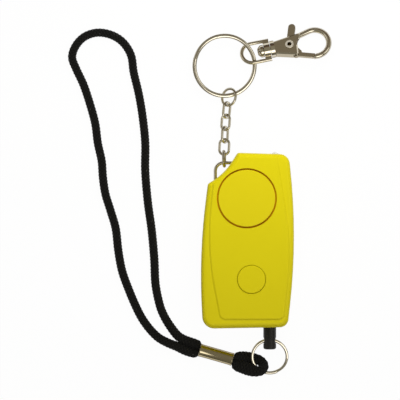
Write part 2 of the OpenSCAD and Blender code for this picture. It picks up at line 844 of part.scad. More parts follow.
// Circuit board and its parts
module board_outline() {
  difference() {
    intersection() {
      polygon(outline(case_outline, wall + 2 * side_gap));
      union() {
        translate([board_left[0], board_step]) square([case_w, board_head - board_step]);
        translate([board_left[1], board_low]) square([case_w, board_head - board_low]);
      }
    }
    for (p = screw_at) translate(p) circle(d = boss_d + 2 * side_gap);
  }
}
module circuit_board() color("seagreen") {
  translate([0, 0, board_z]) linear_extrude(board_t) board_outline();
}
module tact_switch() color("dimgray") {
  translate([button_x, button_y, board_top]) difference() {
    translate([-switch_w / 2, -switch_w / 2, 0]) cube([switch_w, switch_w, switch_h]);
    translate([0, 0, switch_h - plunger_sunk - 2 * button_travel])
      cylinder(d = plunger_d + 2 * run_gap, h = switch_h);
  }
}
module switch_plunger() color("black") {
  low = board_top + switch_h - plunger_sunk;
  translate([button_x, button_y, low])
    cylinder(d = plunger_d, h = roof_z - side_gap - button_flange[1] - low);
}
module control_chip() color("black") {
  translate([chip_at[0] - chip_size[0] / 2, chip_at[1] - chip_size[1] / 2, board_top]) cube(chip_size);
}
module driver_transistor() color("black") {
  translate([transistor_at[0], transistor_at[1], board_top]) difference() {
    cylinder(d = transistor_d, h = transistor_h);
    translate([-transistor_d, -transistor_d - transistor_d / 4, -lap])
      cube([2 * transistor_d, transistor_d, transistor_h + 2 * lap]);
  }
}
module step_up_coil() color("peru") {
  translate([coil_at[0], coil_at[1], board_top]) {
    cylinder(d = coil_core_d, h = coil_h);
    for (z = [0, coil_h - coil_flange]) translate([0, 0, z]) cylinder(d = coil_d, h = coil_flange);
  }
}
module pin_contacts() color("gold") {
  inner = pin_tip_d / 2 + side_gap;
  for (x = [inner, -inner - contact_leaf])
    translate([pin_x + x, pin_shoulder + leaf_up, split_z - leaf_below])
      cube([contact_leaf, pin_tip_l, board_z - split_z + leaf_below]);
}
module light_led() color("white") {
  dome_y = half_h - low_rise + led_tip - led_d / 2;
  rod_y([led_x, led_base, led_z], led_flange[0], led_flange[1]);
  rod_y([led_x, led_base, led_z], led_d, dome_y - led_base);
  translate([led_x, dome_y, led_z]) sphere(d = led_d);
}
module led_leads() color("silver") {
  for (s = [-1, 1]) rod_y([led_x + s * lead_step, lead_end, led_z], lead_d, led_base - lead_end);
}

// Siren
module siren_disc() color("goldenrod") {
  translate([badge_x, siren_y, siren_z]) cylinder(d = siren_d, h = siren_t);
}
module siren_ceramic() color("ivory") {
  translate([badge_x, siren_y, siren_z + siren_t]) cylinder(d = ceramic_d, h = ceramic_t);
}
module siren_leads() color("red") {
  low = siren_z + siren_t;
  for (i = [0, 1])
    translate([siren_lead_at[i][0], siren_lead_at[i][1], i == 0 ? low + ceramic_t : low])
      cylinder(d = lead_d, h = board_z - low - (i == 0 ? ceramic_t : 0));
}

// Battery
module battery_cell() color("slategray") {
  translate([cell_x, cell_low, cell_z]) rotate([-90, 0, 0]) {
    cylinder(d = cell_d, h = cell_l - cell_nub[1]);
    cylinder(d = cell_nub[0], h = cell_l);
  }
}
spring_rise = cell_low - spring_low - spring_wire - side_gap;
spring_rings = 8;
spring_r = (spring_d - spring_wire) / 2;
function spring_point(k) =
  let (a = 360 * k / spring_rings)
  [
    cell_x + spring_r * cos(a),
    spring_low + spring_wire / 2 + side_gap + spring_rise * k / (spring_rings * spring_turns),
    cell_z + spring_r * sin(a)
  ];
spring_gap = spring_rise / spring_turns - spring_wire;
echo(battery_spring_gap_to_itself = spring_gap);
module battery_spring() color("silver") {
  sides = 6;
  loft([
    for (k = [0:spring_rings * spring_turns])
      let (
        c = spring_point(k),
        out = unit([c[0] - cell_x, 0, c[2] - cell_z])
      )
      [
        for (j = [0:sides - 1])
          let (a = 360 * j / sides)
          c + spring_wire / 2 * (cos(a) * [0, 1, 0] + sin(a) * out)
      ]
  ]);
}
module battery_contact() color("silver") {
  plate_w = 7;
  tab_h = 1.2;
  tab_on_board = 1.5;
  translate([cell_x - plate_w / 2, cell_top, cell_z - plate_w / 2]) cube([plate_w, contact_t, plate_w]);
  translate([cell_x, cell_top, board_top]) cube([board_left[1] - cell_x + tab_on_board, contact_t, tab_h]);
}

// Key chain
module keyring_bail() color("silver") { bail_path(bail_wire); }
module chain_link(i) color("silver") {
  place(link_at(i), link_across(i), link_dir(i)) wire_link(link_l, link_w, link_wire);
}
module chain_link_1() { chain_link(0); }
module chain_link_2() { chain_link(1); }
module chain_link_3() { chain_link(2); }
module chain_link_4() { chain_link(3); }
module chain_link_5() { chain_link(4); }
module jump_ring() color("silver") {
  place(jump_at, jump_across, jump_dir) rotate_extrude() translate([jump_r, 0]) circle(d = link_wire);
}
module key_ring() color("silver") {
  place_key_ring() rotate([0, 0, key_ring_turn]) split_ring(key_ring_r, key_ring_w, key_ring_t);
}

// Swivel eye: a wire bow on a bored base
module swivel_eye() color("silver") place_clasp() {
  base_l = eye_base[1] - eye_base[0];
  bow_x = eye_r + eye_wire / 2 - eye_l;
  difference() {
    union() {
      translate([bow_x, 0, 0]) wire_arc(eye_r, eye_wire, 90, 270);
      for (s = [-1, 1]) rod_x([bow_x, s * eye_r, 0], eye_wire, eye_base[1] - bow_x);
      translate([eye_base[0], -eye_r, -eye_wire / 2]) cube([base_l, 2 * eye_r, eye_wire]);
      rod_x([eye_base[0], 0, 0], eye_collar_d, base_l);
    }
    rod_x([eye_base[0] - lap, 0, 0], post_d + 2 * run_gap, base_l + 2 * lap);
  }
}
module swivel_post() color("silver") place_clasp() {
  head_x = eye_base[0] - side_gap;
  rotate([0, 90, 0]) rotate_extrude()
    polygon([
      [0, head_x - post_head[1]],
      [post_head[0] / 4, head_x - post_head[1]],
      [post_head[0] / 2, head_x - post_head[1] / 2],
      [post_head[0] / 2, head_x],
      [post_d / 2, head_x],
      [post_d / 2, slot_x[0] - post_end_gap],
      [0, slot_x[0] - post_end_gap]
    ]);
}

// Clasp body: chamfered plate with a slot for the trigger, a neck and the hook
module clasp_plate_form() {
  half_t = clasp_t / 2;
  loft([
    lift(outline(clasp_plate, clasp_edge), -half_t),
    lift(outline(clasp_plate), clasp_edge - half_t),
    lift(outline(clasp_plate), half_t - clasp_edge),
    lift(outline(clasp_plate, clasp_edge), half_t)
  ]);
}
// The gate's arm lies along one edge of its slot and swings away from it
module gate_slot_2d() {
  arm = gate_root - pivot;
  intersection() {
    translate(pivot) rotate([0, 0, atan2(arm[1], arm[0])])
      translate([0, -gate_w - side_gap]) square(clasp_l);
    translate([slot_x[0], gate_slot_top - clasp_l]) square(clasp_l);
  }
}
module clasp_body() color("silver") place_clasp() {
  slot_t = trigger_t + 2 * side_gap;
  back = hook_root - hook_at;
  crown = atan2(back[1], back[0]) - acos(hook_r / norm(back));
  rod_l = sqrt(back * back - hook_r * hook_r);
  difference() {
    union() {
      difference() {
        clasp_plate_form();
        translate([0, 0, -slot_t / 2]) linear_extrude(slot_t) {
          translate([slot_x[0], slot_floor]) square([slot_x[1] - slot_x[0], clasp_l]);
          gate_slot_2d();
        }
        translate([eye_hole[0], eye_hole[1], -clasp_t]) cylinder(r = eye_hole[2], h = 2 * clasp_t);
      }
      rod_x([0, 0, 0], clasp_neck[0], clasp_neck[1]);
      translate([hook_at[0], hook_at[1], 0]) rotate([0, 0, crown - 90]) {
        mirror([1, 0, 0]) wire_arc(hook_r, hook_d, 90, 90 + crown - hook_tip_angle);
        rod_x([-rod_l, hook_r, 0], hook_d, rod_l);
      }
    }
    rod_x([-lap, 0, 0], post_d + 2 * screw_gap, lap + slot_x[0] - post_end_gap + side_gap);
    translate([pivot[0], pivot[1], -clasp_t]) cylinder(d = rivet_d + 2 * screw_gap, h = 2 * clasp_t);
  }
}

// Trigger: a thumb lever and a gate finger in one plate, turning on the rivet
module bar_2d(from, to, w) {
  along = to - from;
  translate(from) rotate([0, 0, atan2(along[1], along[0])]) translate([0, -w / 2]) square([norm(along), w]);
}
module clasp_trigger() color("silver") place_clasp() {
  difference() {
    translate([0, 0, -trigger_t / 2]) linear_extrude(trigger_t) {
      translate(pivot) circle(r = trigger_boss);
      bar_2d(pivot, lever_end, lever_w);
      translate(lever_end) circle(d = lever_w);
      intersection() {
        translate(pivot) circle(r = trigger_reach);
        union() {
          bar_2d(pivot, gate_root, 2 * gate_w);
          bar_2d(gate_root, gate_tip, gate_w);
          translate(gate_root) circle(d = gate_w);
        }
      }
    }
    translate([pivot[0], pivot[1], -trigger_t]) cylinder(d = rivet_d + 2 * run_gap, h = 2 * trigger_t);
  }
}
module trigger_rivet() color("silver") place_clasp() {
  translate([pivot[0], pivot[1], 0]) difference() {
    union() {
      cylinder(d = rivet_d, h = clasp_t, center = true);
      for (s = [-1, 1])
        translate([0, 0, s * (clasp_t + rivet_head[1]) / 2])
          cylinder(d = rivet_head[0], h = rivet_head[1], center = true);
    }
    cylinder(d = rivet_bore, h = 2 * clasp_t, center = true);
  }
}
module trigger_spring() color("silver") place_clasp() {
  leaf_r = trigger_boss + side_gap;
  leaf_short = 1;
  translate([pivot[0], pivot[1], -trigger_t / 4]) linear_extrude(trigger_t / 2) difference() {
    intersection() {
      circle(r = leaf_r + leaf_t);
      translate([-leaf_r - leaf_short, -leaf_r - lap]) square([leaf_r, leaf_r + lap]);
    }
    circle(r = leaf_r);
  }
}

// Pull pin and its ring
module pull_pin() color("black") {
  end_r = 0.8;
  translate([pin_x, pin_low, split_z]) difference() {
    rotate([-90, 0, 0]) rotate_extrude()
      polygon([
        [0, 0],
        [pin_d / 2 - end_r, 0],
        [pin_d / 2 - end_r / 4, end_r / 3],
        [pin_d / 2, end_r],
        [pin_d / 2, pin_shoulder - pin_low],
        [pin_tip_d / 2, pin_shoulder - pin_low],
        [pin_tip_d / 2, pin_shoulder - pin_low + pin_tip_l],
        [0, pin_shoulder - pin_low + pin_tip_l]
      ]);
    rod_x([-pin_d, pin_hole_up, 0], pin_hole_d, 2 * pin_d);
  }
}
module pin_ring() color("silver") {
  place_pin_ring() rotate([0, 0, pin_ring_turn]) split_ring(pin_ring_r, pin_ring_w, pin_ring_t);
}

// Wrist cord: the ferrule, the large loop and the small eye round the pin ring
ferrule_ahead = unit(ferrule_b - ferrule_a);
ferrule_side = left_of(ferrule_ahead);
ferrule_l = norm(ferrule_b - ferrule_a);
function strand_end(mouth, inward, side) =
  let (p = mouth + inward * ferrule_ahead + side * strand_off * ferrule_side)
  [p[0], p[1], ferrule_z];
function swelling(path, full) = [
  for (i = [0:len(path) - 1])
    let (from_end = min(i, len(path) - 1 - i))
    from_end < 2 ? strand_r : strand_r + (full - strand_r) * min((from_end - 1) / swell_rings, 1)
];
function laid(path) = [
  for (i = [0:len(path) - 1])
    let (from_end = min(i, len(path) - 1 - i))
    [path[i][0], path[i][1], cord_z + (ferrule_z - cord_z) * max(0, 1 - (from_end + 1) / swell_rings)]
];
loop_path = concat(
  [strand_end(ferrule_a, strand_in, -1), strand_end(ferrule_a, -strand_out, -1)],
  laid(smooth(loop_route)),
  [strand_end(ferrule_a, -strand_out, 1), strand_end(ferrule_a, strand_in, 1)]
);
eye_path = concat(
  [strand_end(ferrule_b, -strand_in, 1), strand_end(ferrule_b, strand_out, 1)],
  smooth(eye_route),
  [strand_end(ferrule_b, strand_out, -1), strand_end(ferrule_b, -strand_in, -1)]
);
module oval_2d(w, h) {
  for (s = [-1, 1]) translate([s * (w - h) / 2, 0]) circle(d = h);
  translate([-(w - h) / 2, -h / 2]) square([w - h, h]);
}
module oval_bar(grow, low, l) {
  translate([0, 0, low]) linear_extrude(l) oval_2d(ferrule_w + 2 * grow, ferrule_h + 2 * grow);
}
module cord_ferrule() color("silver") {
  place(
    [ferrule_a[0], ferrule_a[1], ferrule_z],
    [ferrule_side[0], ferrule_side[1], 0],
    [0, 0, 1]
  ) difference() {
    union() {
      oval_bar(0, 0, ferrule_l);
      for (z = [0, ferrule_l - lip_l]) oval_bar(ferrule_lip, z, lip_l);
    }
    oval_bar(-ferrule_wall, -lap, ferrule_l + 2 * lap);
  }
}
module wrist_cord() color("black") {
  half = swelling(loop_path, cord_d / 2);
  loft(tube_rings(loop_path, half, half, cord_sides));
}
module ring_eye_cord() color("black") {
  loft(tube_rings(
    eye_path, swelling(eye_path, eye_cord_w / 2), swelling(eye_path, eye_cord_h / 2), cord_sides
  ));
}

front_cover();
rear_cover();
badge_disc();
case_screws();
battery_door();
light_button();
switch_plunger();
tact_switch();
circuit_board();
control_chip();
driver_transistor();
step_up_coil();
pin_contacts();
light_led();
led_leads();
siren_disc();
siren_ceramic();
siren_leads();
battery_cell();
battery_spring();
battery_contact();
keyring_bail();
chain_link_1();
chain_link_2();
chain_link_3();
chain_link_4();
chain_link_5();
jump_ring();
key_ring();
swivel_eye();
swivel_post();
clasp_body();
clasp_trigger();
trigger_rivet();
trigger_spring();
pull_pin();
pin_ring();
cord_ferrule();
wrist_cord();
ring_eye_cord();
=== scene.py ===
import math

import bmesh
import bpy
import numpy as np
from mathutils import Matrix, Vector


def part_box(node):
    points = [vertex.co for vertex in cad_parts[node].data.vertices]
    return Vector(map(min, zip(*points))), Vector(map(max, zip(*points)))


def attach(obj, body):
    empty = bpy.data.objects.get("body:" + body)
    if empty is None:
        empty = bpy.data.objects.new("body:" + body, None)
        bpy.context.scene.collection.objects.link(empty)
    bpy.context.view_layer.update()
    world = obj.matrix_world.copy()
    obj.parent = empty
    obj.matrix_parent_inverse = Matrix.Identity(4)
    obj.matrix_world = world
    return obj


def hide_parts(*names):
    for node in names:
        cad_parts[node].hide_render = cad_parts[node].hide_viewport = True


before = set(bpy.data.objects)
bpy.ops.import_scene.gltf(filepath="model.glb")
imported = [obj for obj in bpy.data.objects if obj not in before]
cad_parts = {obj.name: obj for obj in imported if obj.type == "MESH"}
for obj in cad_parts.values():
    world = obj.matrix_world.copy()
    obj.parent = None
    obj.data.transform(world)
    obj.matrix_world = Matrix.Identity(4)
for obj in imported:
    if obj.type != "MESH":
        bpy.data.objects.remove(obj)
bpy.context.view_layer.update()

# Personal safety alarm lying on its back: yellow case, key chain with clasp, pull pin and wrist cord.
# Pieces are modelled in millimetres and scaled to metres when they are placed.
MM = 0.001
scene = bpy.context.scene
scene.view_settings.view_transform = "Standard"

# Camera: straight above, as far off as a product photographer stands with a long lens
VIEW_MIDDLE = Vector((-18.65, 15.74, 0)) * MM
VIEW_WIDTH = 155.4 * MM
VIEW_HEIGHT = 6 * MM
CAMERA_UP = 1.2
SENSOR_WIDTH = 36
camera_data = bpy.data.cameras.new("camera")
camera_data.sensor_width = SENSOR_WIDTH
# The view is VIEW_WIDTH wide at VIEW_HEIGHT above the table
camera_data.lens = SENSOR_WIDTH * (CAMERA_UP - VIEW_HEIGHT) / VIEW_WIDTH
camera = bpy.data.objects.new("camera", camera_data)
camera.location = VIEW_MIDDLE + Vector((0, 0, CAMERA_UP))
scene.collection.objects.link(camera)
scene.camera = camera

# Shader helpers
# The Mix node's colour sockets go by number, because its other sockets have the same names
MIX_LOW = 6
MIX_HIGH = 7
MIX_COLOUR = 2


def add_node(tree, kind, inputs=None, **settings):
    """A shader node with its settings, and its sockets set or linked."""
    made = tree.nodes.new("ShaderNode" + kind)
    for name, value in settings.items():
        setattr(made, name, value)
    for socket, value in (inputs or {}).items():
        if isinstance(value, bpy.types.NodeSocket):
            tree.links.new(value, made.inputs[socket])
        else:
            made.inputs[socket].default_value = value
    return made


def effect_group(name, inputs, outputs):
    """An empty node group with named float inputs, each with its value, and named float outputs."""
    tree = bpy.data.node_groups.new(name, "ShaderNodeTree")
    for socket, value in inputs.items():
        made = tree.interface.new_socket(socket, in_out="INPUT", socket_type="NodeSocketFloat")
        made.default_value = value
    for socket in outputs:
        tree.interface.new_socket(socket, in_out="OUTPUT", socket_type="NodeSocketFloat")
    return tree, tree.nodes.new("NodeGroupInput"), tree.nodes.new("NodeGroupOutput")


def moulded_skin_group():
    """Moulded plastic: a soft cloudiness, a fine eroded grain and scuffed patches."""
    tree, given, out = effect_group(
        "moulded_skin", {"Grain Scale": 2600, "Cloud Scale": 60}, ["Cloud", "Grain", "Scuff"]
    )
    place = add_node(tree, "TexCoord").outputs["Object"]
    cloud = add_node(
        tree, "TexNoise", {"Vector": place, "Scale": given.outputs["Cloud Scale"], "Detail": 4}
    )
    grain = add_node(
        tree, "TexNoise", {"Vector": place, "Scale": given.outputs["Grain Scale"], "Detail": 3}
    )
    scuff = add_node(tree, "TexNoise", {"Vector": place, "Scale": 420, "Detail": 8, "Roughness": 0.7})
    worn = add_node(
        tree, "MapRange", {"Value": scuff.outputs["Fac"], "From Min": 0.55, "From Max": 0.75}
    )
    tree.links.new(cloud.outputs["Fac"], out.inputs["Cloud"])
    tree.links.new(grain.outputs["Fac"], out.inputs["Grain"])
    tree.links.new(worn.outputs["Result"], out.inputs["Scuff"])
    return tree


def plated_marks_group():
    """Nickel plate: dull patches, hairline scratches and a fine haze."""
    tree, given, out = effect_group(
        "plated_marks", {"Patch Scale": 350, "Scratch Scale": 900}, ["Patch", "Scratch", "Haze"]
    )
    place = add_node(tree, "TexCoord").outputs["Object"]
    patch = add_node(
        tree, "TexNoise", {"Vector": place, "Scale": given.outputs["Patch Scale"], "Detail": 5}
    )
    drawn = add_node(tree, "Mapping", {"Vector": place, "Rotation": (0.3, 0.2, 0.7), "Scale": (1, 9, 9)})
    scratch = add_node(
        tree,
        "TexNoise",
        {"Vector": drawn.outputs["Vector"], "Scale": given.outputs["Scratch Scale"], "Detail": 3},
    )
    haze = add_node(tree, "TexNoise", {"Vector": place, "Scale": 5200, "Detail": 2})
    tree.links.new(patch.outputs["Fac"], out.inputs["Patch"])
    tree.links.new(scratch.outputs["Fac"], out.inputs["Scratch"])
    tree.links.new(haze.outputs["Fac"], out.inputs["Haze"])
    return tree


def yarn_group():
    """Braided yarn: the crown of each plait, which sets painted shade and highlight, the fibres that run in
    it and caught lint.
    """
    tree, given, out = effect_group("yarn", {"Fibre Scale": 9000}, ["Crown", "Fibre", "Lint"])
    place = add_node(tree, "TexCoord").outputs["Object"]
    crown = add_node(tree, "Attribute", attribute_name="crown")
    top = add_node(tree, "MapRange", {"Value": crown.outputs["Fac"], "From Min": 0.55, "From Max": 1})
    fibre = add_node(
        tree, "TexNoise", {"Vector": place, "Scale": given.outputs["Fibre Scale"], "Detail": 3}
    )
    speck = add_node(tree, "TexNoise", {"Vector": place, "Scale": 1500, "Detail": 1})
    lint = add_node(
        tree, "MapRange", {"Value": speck.outputs["Fac"], "From Min": 0.74, "From Max": 0.78}
    )
    tree.links.new(top.outputs["Result"], out.inputs["Crown"])
    tree.links.new(fibre.outputs["Fac"], out.inputs["Fibre"])
    tree.links.new(lint.outputs["Result"], out.inputs["Lint"])
    return tree


MOULDED_SKIN = moulded_skin_group()
PLATED_MARKS = plated_marks_group()
YARN = yarn_group()


def new_material(name, group, settings):
    """A material with one effect group in it, and its tree, group node and shader."""
    material = bpy.data.materials.new(name)
    material.use_nodes = True
    tree = material.node_tree
    effect = add_node(tree, "Group", node_tree=group)
    for socket, value in settings.items():
        effect.inputs[socket].default_value = value
    return material, tree, effect, tree.nodes["Principled BSDF"]


def opaque(colour):
    """A colour with full alpha."""
    return (*colour, 1)


def mixed(tree, amount, low, high):
    """A colour between low and high, which are colours or sockets."""
    made = add_node(tree, "Mix", {"Factor": amount, MIX_LOW: low, MIX_HIGH: high}, data_type="RGBA")
    return made.outputs[MIX_COLOUR]


def spread(tree, amount, low, high):
    """A value between low and high."""
    made = add_node(tree, "MapRange", {"Value": amount, "To Min": low, "To Max": high})
    return made.outputs["Result"]


def raised(tree, height, depth, shader):
    """A bump of that depth in metres on the shader."""
    bump = add_node(tree, "Bump", {"Height": height, "Distance": depth, "Strength": 1})
    tree.links.new(bump.outputs["Normal"], shader.inputs["Normal"])


# How much rougher a scuff makes plastic and a haze makes plate, and the depths of marks in metres
SCUFF_ROUGHER = 0.12
HAZE_ROUGHER = 0.05
SCRATCH_DEPTH = 2e-7
FIBRE_DEPTH = 4e-5
# Specular tint of plate at grazing angles: a painted shade on edges that turn away
PLATE_EDGE_SHADE = (0.16, 0.13, 0.1)
YARN_ROUGH = (0.62, 0.9)


def moulded(name, tone, deep, rough, grain_scale, grain_depth, specular=0.3):
    """Moulded plastic with a grain, from one tone to another."""
    material, tree, skin, shader = new_material(name, MOULDED_SKIN, {"Grain Scale": grain_scale})
    cloudy = mixed(tree, skin.outputs["Cloud"], opaque(tone), opaque(deep))
    scuffed = spread(tree, skin.outputs["Scuff"], rough, rough + SCUFF_ROUGHER)
    tree.links.new(cloudy, shader.inputs["Base Color"])
    tree.links.new(scuffed, shader.inputs["Roughness"])
    shader.inputs["Specular IOR Level"].default_value = specular
    raised(tree, skin.outputs["Grain"], grain_depth, shader)
    return material


def plated(name, bright, dull, rough, edge=PLATE_EDGE_SHADE, metal=1):
    """Plated metal from bright to dull patches, with scratches, and a painted shade where it turns away."""
    material, tree, marks, shader = new_material(name, PLATED_MARKS, {})
    patchy = mixed(tree, marks.outputs["Patch"], opaque(bright), opaque(dull))
    hazy = spread(tree, marks.outputs["Haze"], rough, rough + HAZE_ROUGHER)
    tree.links.new(patchy, shader.inputs["Base Color"])
    tree.links.new(hazy, shader.inputs["Roughness"])
    shader.inputs["Metallic"].default_value = metal
    shader.inputs["Specular Tint"].default_value = opaque(edge)
    raised(tree, marks.outputs["Scratch"], SCRATCH_DEPTH, shader)
    return material


def braided(name, valley_shade, crown, lint):
    """Black braided yarn: painted shade between the plaits and paler crowns as a painted highlight, with a
    few pale specks of lint.
    """
    material, tree, yarn, shader = new_material(name, YARN, {})
    plait = mixed(tree, yarn.outputs["Crown"], opaque(valley_shade), opaque(crown))
    specked = mixed(tree, yarn.outputs["Lint"], plait, opaque(lint))
    tree.links.new(specked, shader.inputs["Base Color"])
    tree.links.new(spread(tree, yarn.outputs["Fibre"], *YARN_ROUGH), shader.inputs["Roughness"])
    shader.inputs["Sheen Weight"].default_value = 0.04
    shader.inputs["Sheen Roughness"].default_value = 0.5
    shader.inputs["Specular IOR Level"].default_value = 0.2
    raised(tree, yarn.outputs["Fibre"], FIBRE_DEPTH, shader)
    return material


# Finishes: a plastic has two tones, roughness, grain scale, grain depth and specular level
# A plate has a bright and a dull tone and roughness
case_yellow = moulded("case_yellow", (0.725, 0.637, 0.004), (0.7, 0.607, 0.003), 0.45, 2600, 3e-6, 0.2)
back_yellow = moulded("back_yellow", (0.725, 0.632, 0.005), (0.69, 0.6, 0.004), 0.55, 3800, 1.2e-5, 0.2)
badge_yellow = moulded("badge_yellow", (0.73, 0.628, 0.005), (0.71, 0.605, 0.004), 0.34, 1800, 2e-6, 0.25)
# Painted shade: the groove's amber stands in for its shade and the light its yellow walls throw into it
groove_painted_shade = moulded("groove_painted_shade", (0.67, 0.36, 0.001), (0.61, 0.33, 0.001), 0.5, 2600, 3e-6, 0.1)
pin_black = moulded("pin_black", (0.011, 0.0105, 0.01), (0.016, 0.015, 0.014), 0.4, 3000, 6e-6, 0.3)
nickel_ring = plated("nickel_ring", (0.74, 0.69, 0.58), (0.62, 0.57, 0.45), 0.1)
nickel_wire = plated("nickel_wire", (0.74, 0.69, 0.57), (0.6, 0.55, 0.43), 0.12)
nickel_clasp = plated("nickel_clasp", (0.75, 0.69, 0.56), (0.67, 0.61, 0.48), 0.1)
# The ferrule's dark red edge tint is a painted shade on its turned-away sides
nickel_ferrule = plated(
    "nickel_ferrule", (0.54, 0.47, 0.31), (0.45, 0.385, 0.24), 0.12, edge=(0.04, 0.01, 0.01)
)
# The rivet's pale, partly diffuse finish is a painted highlight that keeps its head bright from every side
rivet_painted_highlight = plated("rivet_painted_highlight", (0.86, 0.82, 0.72), (0.8, 0.76, 0.66), 0.36, metal=0.75)
# Painted shade: the dark finish of the rivet's bore
bore_painted_shade = plated("bore_painted_shade", (0.16, 0.13, 0.07), (0.1, 0.08, 0.045), 0.4)
zinc_steel = plated("zinc_steel", (0.6, 0.6, 0.61), (0.45, 0.45, 0.46), 0.28)
contact_plate = plated("contact_plate", (0.68, 0.66, 0.6), (0.55, 0.52, 0.45), 0.25)
siren_brass = plated("siren_brass", (0.72, 0.52, 0.2), (0.58, 0.4, 0.14), 0.24)
cell_sleeve = moulded("cell_sleeve", (0.05, 0.06, 0.09), (0.07, 0.08, 0.11), 0.3, 1200, 3e-6, 0.5)
board_green = moulded("board_green", (0.02, 0.16, 0.06), (0.03, 0.2, 0.08), 0.35, 1500, 8e-6, 0.5)
ferrite_grey = moulded("ferrite_grey", (0.05, 0.045, 0.045), (0.08, 0.07, 0.07), 0.6, 4000, 2e-5)
chip_black = moulded("chip_black", (0.015, 0.015, 0.016), (0.025, 0.025, 0.026), 0.5, 5200, 1e-5)
ceramic_white = moulded("ceramic_white", (0.78, 0.75, 0.66), (0.72, 0.68, 0.58), 0.5, 3000, 6e-6)
lead_red = moulded("lead_red", (0.55, 0.02, 0.015), (0.45, 0.015, 0.012), 0.45, 2600, 5e-6)
led_clear = moulded("led_clear", (0.78, 0.79, 0.78), (0.7, 0.71, 0.7), 0.12, 900, 1e-6, 0.5)
# The cord's valley tone is painted shade and its crown tone a painted highlight
cord_black = braided("cord_black", (0.0008, 0.0008, 0.0007), (0.008, 0.0078, 0.0074), (0.08, 0.08, 0.075))

# Pieces
MERGE_DISTANCE = 1e-4
EDGE_SEGMENTS = 3
SHARP_ANGLE = 30


def verts_in(geom):
    """The vertices among the elements that an operator gives."""
    return [element for element in geom if isinstance(element, bmesh.types.BMVert)]


def new_piece(name, shape, body, material, stands_for, place=None, crease=SHARP_ANGLE):
    """A finished mesh on its body, smooth but for edges sharper than crease degrees."""
    matrix = Matrix.Scale(MM, 4) @ (place or Matrix())
    bmesh.ops.transform(shape, matrix=matrix, verts=shape.verts)
    mesh = bpy.data.meshes.new(name)
    shape.to_mesh(mesh)
    shape.free()
    mesh.shade_smooth()
    mesh.set_sharp_from_angle(angle=math.radians(crease))
    mesh.materials.append(material)
    made = bpy.data.objects.new(name, mesh)
    scene.collection.objects.link(made)
    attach(made, body)
    if stands_for:
        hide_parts(*stands_for)
    return made


# Wrist cord and the small eye round the pin ring, in millimetres
# The ferrule's ends and both routes repeat the part's source; here the strands lie closer in its mouths
LOOP_MOUTH = Vector((-18.8, -42.7, 2.42))
EYE_MOUTH = Vector((-5.9, -46.4, 2.42))
FERRULE_AHEAD = (EYE_MOUTH - LOOP_MOUTH).normalized()
FERRULE_SIDE = Vector((-FERRULE_AHEAD.y, FERRULE_AHEAD.x, 0))
# How far a strand lies beside the ferrule's axis, ends inside it and runs straight out, and its radius
STRAND_OFF = 0.97
STRAND_IN = 1.5
STRAND_OUT = 0.3
STRAND_RADIUS = 1.12
CORD_Z = 1.6
EYE_CORD_WIDTH = 3.8
EYE_CORD_HEIGHT = 2.4
LOOP_ROUTE = [
    (-21.2, -43.75), (-24.3, -42.9), (-27.7, -41.35), (-31.5, -39.8), (-35, -37.8), (-38.4, -34.4),
    (-41.5, -30), (-44, -25), (-46.5, -19), (-49, -12), (-50.5, -4), (-51.5, 4.5), (-53.5, 11.5),
    (-55.5, 18), (-56.5, 24.5), (-57, 31), (-58.5, 38), (-59.5, 45.5), (-61.5, 53), (-64, 60.5),
    (-67, 67), (-68.5, 71.5), (-67, 76), (-63.5, 79.5), (-58.5, 81), (-53, 80), (-48.5, 77),
    (-45.5, 72), (-44.5, 65.5), (-42.5, 57), (-41, 48), (-40, 38), (-40, 27), (-39, 15), (-37.5, 4),
    (-36.5, -7), (-36, -17), (-34.4, -25), (-32.6, -29.6), (-30.1, -33.7), (-27.4, -37.1),
    (-24.6, -38.9), (-20.3, -40.5),
]
EYE_ROUTE = [
    (-4, -45.4, 2), (-1.2, -45.4, 1.4), (2, -45.9, 1.2), (4.4, -46.7, 1.5), (5.9, -48.1, 2.5),
    (6, -49.6, 3.7), (4.8, -50.7, 4.4), (2.5, -51, 4.2), (0, -50.5, 3.6), (-2.2, -49.7, 2.9),
    (-4, -49, 2.4),
]
# How finely the cords are drawn, and over what length they swell outside the mouths
CURVE_STEPS = 12
LOOP_SPACING = 0.17
LOOP_SIDES = 44
EYE_SPACING = 0.12
EYE_SIDES = 48
SWELL_LENGTH = 1.6
# The braid: plaits each way round, the length of one turn, their rise and how narrow each one's back is
PLAITS = 6
PLAIT_LEAD = 7.8
PLAIT_RISE = 0.42
PLAIT_NARROW = 1.9
BULGE_SHARE = 0.45
WEAVE_SHARE = 0.55


def strand_end(mouth, inward, side):
    """Where a strand of the cord lies in the ferrule's mouth."""
    return mouth + inward * FERRULE_AHEAD + side * STRAND_OFF * FERRULE_SIDE


def from_ferrule(far):
    """Distance along the cord to the nearer of its two ends in the ferrule."""
    return np.minimum(far, far[-1] - far)


def out_of_mouth(far):
    """From 0 where the ferrule squeezes the cord to 1 a little way out of its mouth."""
    out = np.clip((from_ferrule(far) - STRAND_IN - STRAND_OUT) / SWELL_LENGTH, 0, 1)
    return out * out * (3 - 2 * out)


def swelling(far, full):
    """The cord's half size: squeezed in the ferrule's mouth, full a little way out."""
    return STRAND_RADIUS + (full - STRAND_RADIUS) * out_of_mouth(far)


def smooth_line(points, spacing):
    """Evenly spaced points on a smooth curve through the given ones, and their distances along it."""
    points = np.array([tuple(point) for point in points])
    padded = np.vstack([points[:1], points, points[-1:]])
    steps = np.linspace(0, 1, CURVE_STEPS, endpoint=False)[:, None]
    runs = []
    for before, start, end, after in zip(padded, padded[1:], padded[2:], padded[3:]):
        slope = end - before
        bend = 2 * before - 5 * start + 4 * end - after
        twist = 3 * start - before - 3 * end + after
        runs.append((2 * start + slope * steps + bend * steps**2 + twist * steps**3) / 2)
    line = np.vstack([*runs, points[-1:]])
    far = np.concatenate([[0], np.cumsum(np.linalg.norm(np.diff(line, axis=0), axis=1))])
    even = np.linspace(0, far[-1], round(far[-1] / spacing) + 1)
    return np.column_stack([np.interp(even, far, part) for part in line.T]), even


